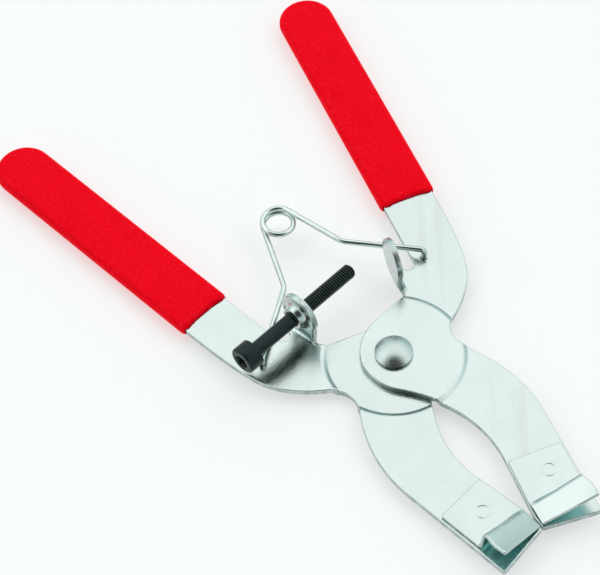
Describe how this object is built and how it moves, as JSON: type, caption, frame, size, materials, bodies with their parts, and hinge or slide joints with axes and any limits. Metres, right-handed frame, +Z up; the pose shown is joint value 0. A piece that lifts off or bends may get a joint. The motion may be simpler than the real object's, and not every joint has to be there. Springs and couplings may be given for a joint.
{
  "type": "piston ring expander pliers",
  "caption": "Pliers that spread a ring: two joggled stamped levers on a rivet, hooded jaw tips, a stop screw between upright ears, a torsion spring and dipped grips.",
  "frame": {"origin": "middle of the rivet's flat tail, on the pivot axis, which is the face the tool rests on", "axes": "+Y from the pivot towards the handles, +Z up along the pivot axis, +X towards the right lever"},
  "size_m": [0.1232, 0.2081, 0.0182],
  "materials": {
    "zinc_plate": "bright zinc plating",
    "spring_wire": "bright drawn wire",
    "red_vinyl": "satin dipped vinyl",
    "black_oxide": "black oxide"
  },
  "bodies": {
    "left_half": {"left_lever": "zinc_plate", "left_grip": "red_vinyl", "left_jaw_clip": "zinc_plate", "pivot_rivet": "zinc_plate", "torsion_spring": "spring_wire"},
    "right_half": {"right_lever": "zinc_plate", "right_grip": "red_vinyl", "right_jaw_clip": "zinc_plate"},
    "stop_screw": {"adjusting_screw": "black_oxide"}
  },
  "joints": [
    {"name": "squeeze", "type": "hinge", "parent": "left_half", "child": "right_half", "pos_m": [0, 0, 0], "axis": [0, 0, 1], "range_deg": [0, 24], "stiffness_Nm_per_rad": 1.1, "springref_deg": -22.92, "deforming": ["torsion_spring"]},
    {"name": "screw_travel", "type": "slide", "parent": "left_half", "child": "stop_screw", "axis": [-0.981, -0.1942, 0], "range_m": [0, 0.018]}
  ]
}
